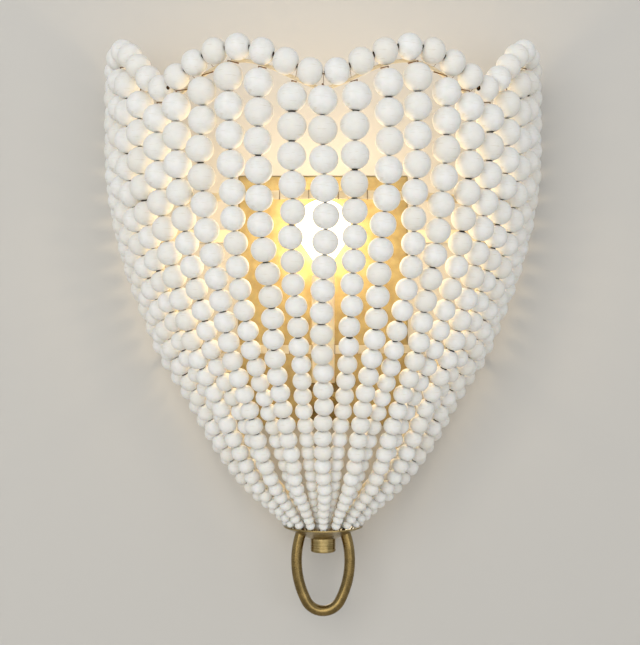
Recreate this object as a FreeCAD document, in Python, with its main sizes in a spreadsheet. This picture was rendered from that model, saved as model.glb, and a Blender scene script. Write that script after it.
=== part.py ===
import FreeCAD, Part
import math
import os

import Sketcher

# Half-round bead wall light. The origin is the middle of the backplate's back, on the
# wall. X runs to the right, Y runs into the wall, so the front faces -Y, and Z is up.
# Sizes are millimetres and degrees.

Vector = FreeCAD.Vector

doc = FreeCAD.newDocument("wall_light")
sheet = doc.addObject("Spreadsheet::Sheet", "dims")
parts = []
read_sizes = {}

SIZES = {
    # shade outline
    "rim_radius": 190.0, "dish_row_radius": 33.0, "dish_reach": 45.0, "valley_height": 173.3,
    "front_scallop_rise": 25.5, "side_scallop_rise": 35.5, "end_height": 188.0,
    # strands and beads
    "strand_count": 23, "strand_last_angle": 86.0, "strand_spread": 0.25, "row_inset": 11.2,
    "bead_gap": 0.15, "bead_bore_radius": 1.6, "strand_wire_radius": 0.5,
    "rim_bead_count": 30, "rim_bead_radius": 11.0, "rim_bead_half": 10.1,
    "rim_bead_gap": 0.85,
    # wire frame
    "rod_radius": 1.5, "upright_radius": 2.0, "rod_inset": 10.5, "rod_drop": 9.0,
    "band_thick": 1.5, "band_tall": 7.0, "band_clear": 0.9, "weld": 0.3,
    "mid_hoop_height": 82.0, "lower_hoop_height": -42.0, "wall_gap": 5.0,
    "rail_height": 60.0, "rail_tall": 12.0, "rail_thick": 2.0, "rail_wall_gap": 3.0,
    "hub_radius": 12.5, "hub_thick": 4.0, "tie_radius": 0.2, "tie_clear": 0.15,
    # dish, knob and loop
    "dish_radius": 35.5, "dish_flat_radius": 15.0, "dish_rim_height": -202.2,
    "dish_depth": 9.4, "sheet_thick": 1.2, "knob_radius": 11.2, "knob_tall": 13.2,
    "knob_bevel": 0.8, "knob_stud_radius": 3.0, "fit_gap": 0.05,
    "loop_rod_radius": 4.85, "loop_half_width": 23.8, "loop_middle": -233.0,
    "loop_bottom": -278.0, "loop_bottom_radius": 17.0, "loop_top": -207.0,
    # backplate and its fixings
    "plate_wide": 156.0, "plate_tall": 230.0, "plate_deep": 16.0, "plate_wall": 1.6,
    "plate_round": 2.0, "strap_wide": 22.0, "strap_tall": 150.0, "strap_thick": 2.0,
    "box_screw_spacing": 88.9, "slot_radius": 2.4, "slot_long": 15.0,
    "stud_radius": 2.0, "stud_long": 23.0, "stud_hole_radius": 2.3, "nut_radius": 4.04,
    "nut_thick": 3.2, "cap_radius": 6.0, "cap_collar": 3.0, "ground_height": 18.0,
    "screw_head_radius": 4.0, "screw_head_thick": 2.4,
    # lamp arm and candle
    "arm_radius": 5.0, "arm_bore_radius": 3.5, "arm_height": -100.0, "arm_bend": 18.0,
    "arm_start": 8.0, "candle_reach": 75.0, "arm_top": -71.0, "rosette_radius": 15.0,
    "rosette_thick": 4.0, "arm_nut_radius": 8.0, "cup_base": -80.0, "cup_radius": 17.0,
    "cup_tall": 8.0, "sleeve_radius": 10.0, "sleeve_thick": 0.9, "sleeve_top": 21.0,
    "holder_radius": 8.2, "holder_base": -22.0, "holder_top": 18.0, "holder_bore": 6.6,
    "holder_floor": -2.0, "shell_radius": 6.5, "shell_bore": 6.25, "contact_radius": 2.0,
    "contact_top": 0.5, "lead_radius": 1.1, "lead_offset": 1.8, "leg_wide": 5.0,
    # bulb
    "bulb_radius": 24.0, "bulb_middle": 63.3, "glass_thick": 0.8, "cap_shell_radius": 5.95,
    "cap_shell_base": 2.6, "cap_shell_top": 21.5, "tip_base": 0.8,
}

# Heights on the shade, top to bottom, with the strand's centre radius, the bead's diameter,
# its thickness along the bore as a share of that, and how a bead's diameter on every second
# strand compares with the others.
OUTLINE = [(170, 189.5), (126, 189.5), (82, 185.0), (29, 172.8), (-15, 156.4), (-42, 146.0),
           (-86, 118.8), (-130, 93.6), (-163, 69.8), (-184, 46.6), (-197, 33.0)]
BEADS = [(165, 24.3), (126, 23.8), (90, 23.3), (60, 22.1), (29, 21.2), (-15, 19.7),
         (-42, 18.6), (-86, 17.0), (-130, 15.6), (-163, 12.9), (-184, 10.6), (-197, 8.5)]
FLATNESS = [(100, 0.97), (74, 0.95), (29, 0.93), (-42, 0.905), (-86, 0.89), (-130, 0.85),
            (-163, 0.82)]
SECOND_ROW = [(110, 1.0), (60, 0.94), (-100, 0.92), (-184, 0.8)]
OUTER_ROW_END = -197.0
INNER_ROW_END = -198.8
INSET_START, INSET_RUN = -20.0, 140.0
BIGGEST_TOP_BEAD = 12.5
TOP_BEAD_CLEAR = 1.0
# Strands swing by up to WANDER degrees, calming over WANDER_FADE above WANDER_LOW.
WANDER, WANDER_RUN, WANDER_SHIFT = 0.28, 38.0, 2.4
WANDER_LOW, WANDER_FADE = -160.0, 120.0
HALVINGS = 22
# Ribs stand where the beads hide them from the front, counted in strands from the middle.
RIB_PLACES = (-8, -3.4, 3.4, 8)
FRAME_HEAD = 4.0
UPRIGHT_BOW = 3.2
UPRIGHT_LOW_REACH = 36.0
HUB_WELD_INSET = 2.5
UPRIGHT_FOOT_ANGLE = 143
WIRE_ASIDE = 1.2
WIRE_ABOVE = 1.3


class Dim:
    """A size with its number and the expression that gives it from the sheet."""

    def __init__(self, value, text):
        self.value = value
        self.text = text

    def join(self, other, sign, value):
        text = other.text if isinstance(other, Dim) else repr(other)
        return Dim(value, "(%s %s %s)" % (self.text, sign, text))

    def __add__(self, other):
        return self.join(other, "+", self.value + number(other))

    def __sub__(self, other):
        return self.join(other, "-", self.value - number(other))

    def __mul__(self, other):
        return self.join(other, "*", self.value * number(other))

    def __truediv__(self, other):
        return self.join(other, "/", self.value / number(other))

    def __neg__(self):
        return Dim(-self.value, "(0 - %s)" % self.text)


def number(item):
    return item.value if isinstance(item, Dim) else item


def root(item):
    return Dim(math.sqrt(item.value), "sqrt(%s)" % item.text)


def fill_sheet():
    for row, (name, size) in enumerate(SIZES.items(), start=1):
        cell = "A%d" % row
        sheet.set(cell, str(size))
        sheet.setAlias(cell, name)
    doc.recompute()
    for name in SIZES:
        read_sizes[name] = float(sheet.get(name))


def dim(name):
    return Dim(float(SIZES[name]), "dims." + name)


def size(name):
    return read_sizes[name]


# Bodies made of sketches and features.

def new_body(label, x=None, y=None, z=None):
    body = doc.addObject("PartDesign::Body", label)
    body.Label = label
    for axis, shift in (("x", x), ("y", y), ("z", z)):
        if shift is not None:
            body.setExpression("Placement.Base." + axis, shift.text)
    return body


def new_sketch(body, plane):
    sketch = body.newObject("Sketcher::SketchObject", body.Name + "_sketch")
    origin = [f for f in body.Origin.OriginFeatures if f.Role == plane][0]
    sketch.AttachmentSupport = (origin, "")
    sketch.MapMode = "FlatFace"
    return sketch


def bind(sketch, constraint, item):
    """Adds a constraint and ties its value to the sheet where the size comes from there."""
    index = sketch.addConstraint(constraint)
    if isinstance(item, Dim):
        sketch.setExpression("Constraints[%d]" % index, item.text)


def pin_point(sketch, edge, end, point):
    """Fixes one end of an edge at a point given by two sizes."""
    for kind, item in (("DistanceX", point[0]), ("DistanceY", point[1])):
        bind(sketch, Sketcher.Constraint(kind, -1, 1, edge, end, number(item)), item)


def arc_between(a, b, radius, side):
    """The short arc from a to b; side 1 puts its centre on the left of the way there."""
    mid = (a + b) * 0.5
    way = (b - a).normalize()
    left = Vector(-way.y, way.x, 0)
    rise = math.sqrt(max(radius ** 2 - ((b - a).Length / 2) ** 2, 0.0))
    centre = mid + left * rise * side
    start, end = (a, b) if side > 0 else (b, a)
    first = math.atan2(start.y - centre.y, start.x - centre.x)
    last = math.atan2(end.y - centre.y, end.x - centre.x)
    circle = Part.Circle(centre, Vector(0, 0, 1), radius)
    return Part.ArcOfCircle(circle, first, last)


def draw(sketch, corners, bends=None, closed=True):
    """Draws lines through the corners; bends gives an edge's radius and side.

    Where an arc has to keep its centre on a line, as on the axis of a ball, the bend also
    names that line, and this fixes the arc in the radius's place.
    """
    bends = bends or {}
    spots = [Vector(number(x), number(y), 0) for x, y in corners]
    count = len(corners) if closed else len(corners) - 1
    ends = []
    for i in range(count):
        a, b = spots[i], spots[(i + 1) % len(corners)]
        if i in bends:
            radius, side = bends[i][:2]
            edge = sketch.addGeometry(arc_between(a, b, number(radius), side), False)
            if len(bends[i]) == 2:
                bind(sketch, Sketcher.Constraint("Radius", edge, number(radius)), radius)
            else:
                kind, line = bends[i][2:]
                bind(sketch, Sketcher.Constraint(kind, -1, 1, edge, 3, number(line)), line)
            ends.append((edge, 1, 2) if side > 0 else (edge, 2, 1))
        else:
            edge = sketch.addGeometry(Part.LineSegment(a, b), False)
            ends.append((edge, 1, 2))
    for i in range(count):
        edge, first, last = ends[i]
        pin_point(sketch, edge, first, corners[i])
        if i + 1 < count or closed:
            after = ends[(i + 1) % count]
            sketch.addConstraint(Sketcher.Constraint("Coincident", edge, last, after[0], after[1]))
        else:
            pin_point(sketch, edge, last, corners[i + 1])


def draw_circle(sketch, x, y, radius):
    circle = Part.Circle(Vector(number(x), number(y), 0), Vector(0, 0, 1), number(radius))
    edge = sketch.addGeometry(circle, False)
    bind(sketch, Sketcher.Constraint("Radius", edge, number(radius)), radius)
    pin_point(sketch, edge, 3, (x, y))


def box_corners(half_wide, low, high):
    return [(-half_wide, low), (half_wide, low), (half_wide, high), (-half_wide, high)]


def pad(body, sketch, length):
    feature = body.newObject("PartDesign::Pad", body.Name + "_pad")
    feature.Profile = sketch
    feature.setExpression("Length", length.text)
    return feature


def cut_forward(body, sketch, length):
    """Cuts from the back plane towards the front, and makes sure that it did."""
    doc.recompute()
    before = body.Shape.Volume
    feature = body.newObject("PartDesign::Pocket", body.Name + "_pocket")
    feature.Profile = sketch
    feature.setExpression("Length", length.text)
    feature.Reversed = True
    doc.recompute()
    if body.Shape.Volume >= before - 1e-6:
        raise RuntimeError("nothing was cut from " + body.Label)


def turned(label, corners, bends=None, plane="XZ_Plane", x=None, y=None, z=None, keep=True):
    """A solid of revolution about the upright axis of its sketch."""
    body = new_body(label, x, y, z)
    sketch = new_sketch(body, plane)
    draw(sketch, corners, bends)
    feature = body.newObject("PartDesign::Revolution", label + "_turn")
    feature.Profile = sketch
    feature.ReferenceAxis = (sketch, ["V_Axis"])
    feature.Angle = 360
    if keep:
        parts.append(body)
    return body


def ring_corners(inner, outer, low, high):
    return [(inner, low), (outer, low), (outer, high), (inner, high)]


def disc_corners(radius, low, high):
    return ring_corners(0.0, radius, low, high)


def group(label, members):
    """Several like solids that share one node."""
    item = doc.addObject("Part::Compound", label)
    item.Label = label
    item.Links = members
    parts.append(item)


def keep_shape(label, solids):
    """A node whose shape comes from the shade's formulas."""
    item = doc.addObject("Part::Feature", label)
    item.Label = label
    item.Shape = solids[0] if len(solids) == 1 else Part.makeCompound(solids)
    item.Placement = FreeCAD.Placement()
    parts.append(item)


# The shade's form.

def along(stations, height):
    """A smooth value that follows the stations without overshooting them."""
    rows = sorted(stations)
    if height <= rows[0][0]:
        return rows[0][1]
    if height >= rows[-1][0]:
        return rows[-1][1]
    slopes = [(b[1] - a[1]) / (b[0] - a[0]) for a, b in zip(rows, rows[1:])]
    i = next(n for n in range(len(slopes)) if height <= rows[n + 1][0])
    low, high = rows[i], rows[i + 1]
    start = slope_at(slopes, i)
    end = slope_at(slopes, i + 1)
    run = high[0] - low[0]
    t = (height - low[0]) / run
    return (low[1] * (2 * t ** 3 - 3 * t ** 2 + 1) + run * start * (t ** 3 - 2 * t ** 2 + t)
            + high[1] * (3 * t ** 2 - 2 * t ** 3) + run * end * (t ** 3 - t ** 2))


def slope_at(slopes, i):
    if i == 0 or i == len(slopes):
        return slopes[min(i, len(slopes) - 1)]
    if slopes[i - 1] * slopes[i] <= 0:
        return 0.0
    return 2 * slopes[i - 1] * slopes[i] / (slopes[i - 1] + slopes[i])


def ease(t):
    t = min(max(t, 0.0), 1.0)
    return t * t * (3 - 2 * t)


def fullness(height):
    """1 at the rim, falling to 0 where the strands end in the dish."""
    narrow = size("dish_row_radius")
    return (along(OUTLINE, height) - narrow) / (size("rim_radius") - narrow)


def plan_centre(height):
    return size("dish_reach") * (1 - fullness(height))


def strand_angle(strand, height):
    full = size("strand_last_angle") * strand / (int(size("strand_count")) // 2)
    return full * (1 + size("strand_spread") * (1 - fullness(height)) ** 2)


def place(angle, radius, height):
    turn = math.radians(angle)
    y = -plan_centre(height) - radius * math.cos(turn)
    return Vector(radius * math.sin(turn), y, height)


def row_inset(strand, height):
    """Every second strand moves to an inner row as the strands close in on the dish."""
    if strand % 2 == 0:
        return 0.0
    return size("row_inset") * ease((INSET_START - height) / INSET_RUN)


def wander(strand, height):
    """How many degrees a strand swings off its place, as strands hung by hand do."""
    calm = ease((height - WANDER_LOW) / WANDER_FADE)
    return WANDER * calm * math.sin(height / WANDER_RUN + WANDER_SHIFT * strand)


def strand_point(strand, height):
    radius = along(OUTLINE, height) - row_inset(strand, height)
    return place(strand_angle(strand, height) + wander(strand, height), radius, height)


def bead_sizes(strand, height, stretch):
    """A bead's radius, and half its thickness along the bore."""
    radius = along(BEADS, height) / 2 * stretch
    half = radius * along(FLATNESS, height)
    if strand % 2 == 0:
        return radius, half
    share = along(SECOND_ROW, height)
    return radius * share, half * (1 + share) / 2


def rim_height(angle):
    """Height of the scalloped rim: four scallops of 45 degrees."""
    wave = abs(math.sin(math.radians(4 * angle)))
    shape = (wave + wave ** 2) / 2
    valley = size("valley_height")
    if abs(angle) <= 45:
        return valley + size("front_scallop_rise") * shape
    base = valley + (size("end_height") - valley) * (abs(angle) - 45) / 45
    return base + size("side_scallop_rise") * shape


def rim_point(angle, inset=0.0, drop=0.0):
    turn = math.radians(angle)
    radius = size("rim_radius") - inset
    return Vector(radius * math.sin(turn), -radius * math.cos(turn), rim_height(angle) - drop)


def rim_bead_angles():
    """Angles at which the rim beads sit the same distance apart, out from the middle."""
    pitch = 2 * size("rim_bead_half") + size("rim_bead_gap")
    right = [math.degrees(math.asin(pitch / 2 / size("rim_radius")))]
    while len(right) < int(size("rim_bead_count")) // 2:
        here = rim_point(right[-1])
        low, high = right[-1] + 1, right[-1] + 9
        for _ in range(HALVINGS):
            middle = (low + high) / 2
            if rim_point(middle).distanceToPoint(here) < pitch:
                low = middle
            else:
                high = middle
        right.append(middle)
    return [-a for a in reversed(right)] + right


def next_height(strand, here, half, stretch):
    """Height of the bead that sits just under the bead at here."""
    low, high = here.z - 30, here.z - 1
    for _ in range(HALVINGS):
        middle = (low + high) / 2
        reach = half + bead_sizes(strand, middle, stretch)[1] + size("bead_gap")
        if strand_point(strand, middle).distanceToPoint(here) > reach:
            low = middle
        else:
            high = middle
    return (low + high) / 2


def bead_chain(strand, top, stretch, end, count=None):
    """Centre, radius and half thickness of a strand's beads from the top bead down."""
    here = strand_point(strand, top)
    chain = [(here, *bead_sizes(strand, top, stretch))]
    while (here.z > end) if count is None else (len(chain) < count):
        here = strand_point(strand, next_height(strand, here, chain[-1][2], stretch))
        chain.append((here, *bead_sizes(strand, here.z, stretch)))
    return chain


def fitted_chain(strand, top):
    """A chain of whole beads, sized a little up or down so that it ends in the dish."""
    end = OUTER_ROW_END if strand % 2 == 0 else INNER_ROW_END
    loose = len(bead_chain(strand, top, 1.0, end))
    best = None
    for count in (loose - 1, loose):
        low, high = 0.85, 1.15
        for _ in range(14):
            stretch = (low + high) / 2
            chain = bead_chain(strand, top, stretch, end, count)
            if chain[-1][0].z < end:
                high = stretch
            else:
                low = stretch
        if best is None or abs(stretch - 1) < abs(best[0] - 1):
            best = (stretch, chain)
    return best[1]


def strand_top(strand, rim):
    """Highest place for a top bead that stays clear of the rim beads."""
    angle = size("strand_last_angle") * strand / (int(size("strand_count")) // 2)
    reach = BIGGEST_TOP_BEAD + size("rim_bead_radius") + TOP_BEAD_CLEAR
    height = rim_height(angle) - 12
    while min(strand_point(strand, height).distanceToPoint(spot) for spot in rim) < reach:
        height -= 0.25
    return height


# Shapes along lines in space.

def facing(way, side):
    """The turn that points Z along the way, with X as near to the side as it goes."""
    return FreeCAD.Rotation(side, Vector(0, 0, 0), way, "ZXY")


def rod(points, radius, side):
    """A round wire through the points, in straight stretches with mitred turns."""
    rings = []
    for i, point in enumerate(points):
        way = points[min(i + 1, len(points) - 1)] - points[max(i - 1, 0)]
        ring = Part.makeCircle(radius)
        ring.Placement = FreeCAD.Placement(point, facing(way, side))
        rings.append(Part.Wire([ring]))
    return Part.makeLoft(rings, True, True)


def bored_bead(centre, radius, half, way):
    """A slightly flattened ball with a hole along the way the wire runs."""
    bore = size("bead_bore_radius")
    low, high = Vector(bore, 0, -half), Vector(bore, 0, half)
    skin = Part.Arc(low, Vector(radius, 0, 0), high).toShape()
    face = Part.Face(Part.Wire([skin, Part.LineSegment(high, low).toShape()]))
    ball = face.revolve(Vector(0, 0, 0), Vector(0, 0, 1), 360)
    ball.Placement = FreeCAD.Placement(centre, facing(way, Vector(1, 0, 0)))
    return ball


def bore_way(chain, i):
    """The line a bead is bored along, from one neighbour to the other."""
    way = chain[min(i + 1, len(chain) - 1)][0] - chain[max(i - 1, 0)][0]
    return way.normalize()


def bored_chain(chain):
    return [bored_bead(centre, radius, half, bore_way(chain, i))
            for i, (centre, radius, half) in enumerate(chain)]


def threaded(chain):
    """The points a wire passes: where it enters and leaves each bead."""
    points = []
    for i, (centre, _, half) in enumerate(chain):
        way = bore_way(chain, i)
        points += [centre - way * half, centre + way * half]
    return points


def dish_inside(radius):
    """Height of the dish's inner face at a radius from its axis."""
    slope = size("dish_depth") / (size("dish_radius") - size("dish_flat_radius"))
    lip = size("dish_rim_height") + size("sheet_thick")
    return lip - (size("dish_radius") - radius) * slope


def under_rod(angle):
    """Where a strand's wire hangs on the underside of the rim rod."""
    inset, drop = size("rod_inset"), size("rod_drop")
    middle = rim_point(angle, inset, drop)
    along_rod = (rim_point(angle + 0.5, inset, drop) - middle).normalize()
    down = Vector(0, 0, -1) + along_rod * along_rod.z
    reach = size("rod_radius") + size("strand_wire_radius") + size("tie_clear")
    return middle + down.normalize() * reach


def strand_wire(strand, chain):
    """The wire from the rim rod, through a strand's beads, into the dish."""
    angle = strand_angle(strand, chain[0][0].z)
    top, _, top_half = chain[0]
    mouth = top - bore_way(chain, 0) * (top_half + WIRE_ABOVE)
    bottom = chain[-1][0]
    axis = Vector(0, -size("dish_reach"), bottom.z)
    outward = bottom - axis
    landing = outward.Length - (4.5 if strand % 2 == 0 else 5.0)
    foot = axis + outward.normalize() * landing
    foot.z = dish_inside(landing) + size("strand_wire_radius") + 0.2
    aside = WIRE_ASIDE if strand <= 0 else -WIRE_ASIDE
    points = [under_rod(angle + aside), mouth] + [centre for centre, _, _ in chain] + [foot]
    turn = math.radians(angle)
    return rod(points, size("strand_wire_radius"), Vector(math.cos(turn), math.sin(turn), 0))


def hoop_radius(height):
    """Outer radius of a band that clears the beads of both rows down to its lower edge."""
    low = height - size("band_tall") / 2
    first = along(BEADS, low) / 2
    second = first * along(SECOND_ROW, low) + row_inset(1, low)
    return along(OUTLINE, low) - max(first, second) - size("band_clear")


def frame_radius(height):
    """Where the frame's round wires meet the inner face of a hoop."""
    return hoop_radius(height) - size("band_thick") + size("weld")


def frame_heights(top):
    """Heights at which a frame wire is drawn, from its top down to the hub."""
    steps = 16
    low = OUTER_ROW_END
    return [top + (low - top) * i / steps for i in range(steps + 1)]


def rod_overlap():
    """How far under the rim rod's middle an upright wire starts, so that the two are welded."""
    return size("rod_radius") - size("weld")


def rib(strand):
    """A frame wire behind one strand, from the rim rod to the hub in the dish."""
    radius = size("rod_radius")
    start_angle = strand_angle(strand, rim_height(0))
    head = rim_point(start_angle, size("rod_inset"), size("rod_drop") + rod_overlap())
    points = [head]
    for height in frame_heights(head.z - FRAME_HEAD):
        points.append(place(strand_angle(strand, height), frame_radius(height) - radius, height))
    points.append(hub_landing(strand_angle(strand, OUTER_ROW_END)))
    turn = math.radians(start_angle)
    return rod(points, radius, Vector(math.cos(turn), math.sin(turn), 0))


def hub_top():
    return size("dish_rim_height") - size("dish_depth") + size("sheet_thick") + size("hub_thick")


def hub_landing(angle):
    turn = math.radians(angle)
    reach = size("hub_radius") - HUB_WELD_INSET
    y = -size("dish_reach") - reach * math.cos(turn)
    return Vector(reach * math.sin(turn), y, hub_top() - size("weld"))


def upright_point(side, height):
    """Centre of a back upright, off the wall, inside the last strand and past the plate."""
    hoop = size("lower_hoop_height")
    run = min(max((hoop - height) / (hoop - OUTER_ROW_END), 0.0), 1.0)
    bow = UPRIGHT_BOW * math.sin(math.pi * run)
    radius = frame_radius(height) - size("upright_radius") + bow
    narrowing = (1 - fullness(height)) ** 3
    y = -size("wall_gap") - (UPRIGHT_LOW_REACH - size("wall_gap")) * narrowing
    behind = y + plan_centre(height)
    return Vector(side * math.sqrt(radius ** 2 - behind ** 2), y, height)


def rod_end_angle():
    return math.degrees(math.acos(size("wall_gap") / (size("rim_radius") - size("rod_inset"))))


def upright(side):
    drop = size("rod_drop") + rod_overlap()
    head = rim_point(side * rod_end_angle(), size("rod_inset"), drop)
    points = [head]
    points += [upright_point(side, height) for height in frame_heights(head.z - FRAME_HEAD)]
    points.append(hub_landing(side * UPRIGHT_FOOT_ANGLE))
    return rod(points, size("upright_radius"), Vector(0, 1, 0))


# Sub-parts.

def make_strands(rim):
    half = int(size("strand_count")) // 2
    wires = []
    for strand in range(-half, half + 1):
        chain = fitted_chain(strand, strand_top(strand, rim))
        keep_shape("bead_strand_%02d" % (strand + half + 1), bored_chain(chain))
        wires.append(strand_wire(strand, chain))
    keep_shape("strand_wires", wires)


def make_rim(angles):
    rim = [rim_point(angle) for angle in angles]
    chain = [(spot, size("rim_bead_radius"), size("rim_bead_half")) for spot in rim]
    keep_shape("rim_beads", bored_chain(chain))
    end = rod_end_angle()
    count = 60
    sweep = [-end + 2 * end * i / count for i in range(count + 1)]
    inset, drop = size("rod_inset"), size("rod_drop")
    up = Vector(0, 0, 1)
    keep_shape("rim_rod", [rod([rim_point(a, inset, drop) for a in sweep], size("rod_radius"), up)])
    wire = size("strand_wire_radius")
    rest = size("rod_radius") + wire + size("tie_clear")
    left, right = [rim_point(side * end, inset, drop - rest) for side in (-1, 1)]
    keep_shape("rim_wire", [rod([left] + threaded(chain) + [right], wire, up)])
    return rim, [rim_tie(chain, i, angles) for i in range(len(chain) - 1)]


def rim_tie(chain, i, angles):
    """A wire in the gap between two rim beads, from the rod to the wire they are strung on."""
    before, after = threaded(chain)[2 * i + 1:2 * i + 3]
    wire_side = (before + after) * 0.5
    across = chain[i + 1][0] - chain[i][0]
    middle = (angles[i] + angles[i + 1]) / 2
    tries = [rim_point(middle + step / 10, size("rod_inset"), size("rod_drop"))
             for step in range(-60, 61)]
    rod_side = min(tries, key=lambda spot: abs((spot - wire_side).dot(across)))
    way = (wire_side - rod_side).normalize()
    line = [rod_side + way * (size("rod_radius") + size("tie_clear")),
            wire_side - way * (size("strand_wire_radius") + size("tie_clear"))]
    return rod(line, size("tie_radius"), Vector(1, 0, 0))


def make_hoop(label, height_name):
    """A flat band behind the strands, bent to an arc whose ends meet the uprights."""
    height = size(height_name)
    outer = hoop_radius(height)
    forward = plan_centre(height)
    spread = math.degrees(math.acos((size("wall_gap") - forward) / outer))
    body = new_body(label, None, None, dim(height_name))
    body.Placement.Base.y = -forward
    sketch = new_sketch(body, "YZ_Plane")
    half = dim("band_tall") / 2
    draw(sketch, [(-outer, -half), (dim("band_thick") - outer, -half),
                  (dim("band_thick") - outer, half), (-outer, half)])
    feature = body.newObject("PartDesign::Revolution", label + "_turn")
    feature.Profile = sketch
    feature.ReferenceAxis = (sketch, ["V_Axis"])
    feature.Midplane = True
    feature.Angle = 2 * spread
    parts.append(body)


def hoop_ties():
    """Wire clips round the hoops, one in each space between two strands."""
    half = int(size("strand_count")) // 2
    clips = []
    wire = 2 * size("tie_radius")
    for name in ("mid_hoop_height", "lower_hoop_height"):
        height = size(name)
        middle = hoop_radius(height) - size("band_thick") / 2
        tall, thick = size("band_tall") + 0.1, size("band_thick") + 0.1
        for strand in range(-half, half):
            outer = Part.makeBox(wire, thick + 2 * wire, tall + 2 * wire,
                                 Vector(-wire / 2, -thick / 2 - wire, -tall / 2 - wire))
            inner = Part.makeBox(wire, thick, tall, Vector(-wire / 2, -thick / 2, -tall / 2))
            clip = outer.cut(inner)
            angle = (strand_angle(strand, height) + strand_angle(strand + 1, height)) / 2
            turn = FreeCAD.Rotation(Vector(0, 0, 1), angle)
            clip.Placement = FreeCAD.Placement(place(angle, middle, height), turn)
            clips.append(clip)
    return clips


def make_rail(label, height):
    """A flat strip across the back, on the wall side of the backplate's face."""
    end = upright_point(1, height).x - size("upright_radius") + size("weld")
    body = new_body(label, None, -dim("rail_wall_gap"), None)
    body.Placement.Base.z = height
    sketch = new_sketch(body, "XZ_Plane")
    half = dim("rail_tall") / 2
    draw(sketch, [(-end, -half), (end, -half), (end, half), (-end, half)])
    draw_circle(sketch, 0.0, 0.0, dim("stud_hole_radius"))
    pad(body, sketch, dim("rail_thick"))
    parts.append(body)


def make_frame(rim_ties):
    make_hoop("mid_hoop", "mid_hoop_height")
    make_hoop("lower_hoop", "lower_hoop_height")
    keep_shape("tie_wires", rim_ties + hoop_ties())
    keep_shape("frame_ribs", [rib(strand) for strand in RIB_PLACES])
    keep_shape("back_uprights", [upright(-1), upright(1)])
    make_rail("upper_rail", size("rail_height"))
    make_rail("lower_rail", -size("rail_height"))


def make_dish():
    """Hub, dish, knob and the oval loop brazed under the dish."""
    reach = -dim("dish_reach")
    rim = dim("dish_rim_height")
    floor = rim - dim("dish_depth")
    sheet_thick = dim("sheet_thick")
    stud = dim("knob_stud_radius")
    hole = stud + dim("fit_gap")
    turned("frame_hub", ring_corners(hole, dim("hub_radius"), floor + sheet_thick,
                                     floor + sheet_thick + dim("hub_thick")), y=reach)
    flat, wide = dim("dish_flat_radius"), dim("dish_radius")
    turned("bottom_dish", [(hole, floor), (flat, floor), (wide, rim), (wide, rim + sheet_thick),
                           (flat, floor + sheet_thick), (hole, floor + sheet_thick)], y=reach)
    knob_base = floor - dim("knob_tall")
    knob, bevel = dim("knob_radius"), dim("knob_bevel")
    turned("finial_knob", [(0.0, knob_base), (knob - bevel, knob_base),
                           (knob, knob_base + bevel), (knob, floor - bevel), (knob - bevel, floor),
                           (hole, floor), (hole, knob_base + 4), (0.0, knob_base + 4)], y=reach)
    turned("hub_stud", disc_corners(stud, knob_base + 4.5,
                                    floor + sheet_thick + dim("hub_thick")), y=reach)
    make_loop()


def make_loop():
    """Half an oval of two arcs, swept from its lowest point and mirrored."""
    wide, middle, bottom = dim("loop_half_width"), dim("loop_middle"), dim("loop_bottom")
    low_radius = dim("loop_bottom_radius")
    low_centre = bottom + low_radius
    gap = middle - low_centre
    side_radius = (gap * gap + wide * wide - low_radius * low_radius) / ((wide - low_radius) * 2)
    side_centre = wide - side_radius
    share = side_radius / (side_radius - low_radius)
    turn = (side_centre - side_centre * share, middle - gap * share)
    rise = dim("loop_top") - middle
    top = (side_centre + root(side_radius * side_radius - rise * rise), dim("loop_top"))
    body = new_body("ring_loop", None, -dim("dish_reach"), None)
    path = new_sketch(body, "XZ_Plane")
    draw(path, [(0.0, bottom), turn, top], {0: (low_radius, 1), 1: (side_radius, 1)}, False)
    section = new_sketch(body, "YZ_Plane")
    draw_circle(section, 0.0, bottom, dim("loop_rod_radius"))
    doc.recompute()
    sweep = body.newObject("PartDesign::AdditivePipe", "ring_loop_sweep")
    sweep.Profile = section
    sweep.Spine = path
    sweep.Mode = "Standard"
    doc.recompute()
    mirror = body.newObject("PartDesign::Mirrored", "ring_loop_mirror")
    mirror.Originals = [sweep]
    plane = [f for f in body.Origin.OriginFeatures if f.Role == "YZ_Plane"][0]
    mirror.MirrorPlane = (plane, [""])
    body.Tip = mirror
    cope(body)
    parts.append(body)


def cope(body):
    """Trims the loop's two ends to the underside of the dish, less the braze."""
    rim, flat = dim("dish_rim_height"), dim("dish_flat_radius")
    floor = rim - dim("dish_depth") + dim("weld")
    wide = dim("dish_radius")
    sketch = new_sketch(body, "XZ_Plane")
    draw(sketch, [(0.0, floor), (flat, floor), (wide, rim + dim("weld")), (wide, rim + 10),
                  (0.0, rim + 10)])
    groove = body.newObject("PartDesign::Groove", "ring_loop_cope")
    groove.Profile = sketch
    groove.ReferenceAxis = (sketch, ["V_Axis"])
    groove.Angle = 360


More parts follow.
